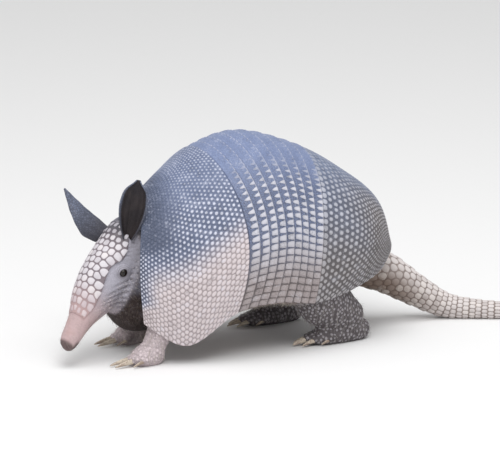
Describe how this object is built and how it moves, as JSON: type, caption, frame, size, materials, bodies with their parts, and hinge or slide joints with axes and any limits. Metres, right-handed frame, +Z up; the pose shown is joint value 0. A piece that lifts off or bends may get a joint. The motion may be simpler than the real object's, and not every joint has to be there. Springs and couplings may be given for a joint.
{
  "type": "nine-banded armadillo model",
  "caption": "Still, life-size model of a nine-banded armadillo, standing with arched back, nose near the floor and tail laid out behind.",
  "frame": {"origin": "centre of the bottom of the whole animal's box, on the floor that it stands on", "axes": "+Z up, head towards -Y, tail towards +Y, the animal's left side towards +X"},
  "size_m": [0.174, 0.5812, 0.2032],
  "materials": {
    "shell": "blue-grey horn-covered bony plates with pale scutes, dull satin",
    "head_plates": "cream horny scutes with grey-mauve seams, satin",
    "skin": "bare pinkish grey wrinkled skin, pink at the snout, matt",
    "ear_skin": "bare dark grey ear skin with fine scales outside, matt",
    "leg_skin": "grey-mauve leg skin with small scales and sparse hair, matt",
    "tail_plates": "cream-beige rings of horny scutes, satin",
    "claw": "yellow-grey horn, satin",
    "eye": "near-black moist eye, glossy"
  },
  "bodies": {
    "root": {"head": "skin", "head_shield": "head_plates", "eye_left": "eye", "eye_right": "eye", "ear_left": "ear_skin", "ear_right": "ear_skin", "neck": "skin", "trunk": "skin", "shoulder_shield": "shell", "band_1": "shell", "band_2": "shell", "band_3": "shell", "band_4": "shell", "band_5": "shell", "band_6": "shell", "band_7": "shell", "band_8": "shell", "band_9": "shell", "rump_shield": "shell", "tail_ring_01": "tail_plates", "tail_ring_02": "tail_plates", "tail_ring_03": "tail_plates", "tail_ring_04": "tail_plates", "tail_ring_05": "tail_plates", "tail_ring_06": "tail_plates", "tail_ring_07": "tail_plates", "tail_ring_08": "tail_plates", "tail_ring_09": "tail_plates", "tail_ring_10": "tail_plates", "tail_ring_11": "tail_plates", "tail_ring_12": "tail_plates", "tail_tip": "tail_plates", "front_leg_left": "leg_skin", "front_foot_left": "leg_skin", "front_claw_left_1": "claw", "front_claw_left_2": "claw", "front_claw_left_3": "claw", "front_claw_left_4": "claw", "front_leg_right": "leg_skin", "front_foot_right": "leg_skin", "front_claw_right_1": "claw", "front_claw_right_2": "claw", "front_claw_right_3": "claw", "front_claw_right_4": "claw", "hind_leg_left": "leg_skin", "hind_foot_left": "leg_skin", "hind_claw_left_1": "claw", "hind_claw_left_2": "claw", "hind_claw_left_3": "claw", "hind_claw_left_4": "claw", "hind_claw_left_5": "claw", "hind_leg_right": "leg_skin", "hind_foot_right": "leg_skin", "hind_claw_right_1": "claw", "hind_claw_right_2": "claw", "hind_claw_right_3": "claw", "hind_claw_right_4": "claw", "hind_claw_right_5": "claw"}
  },
  "joints": []
}
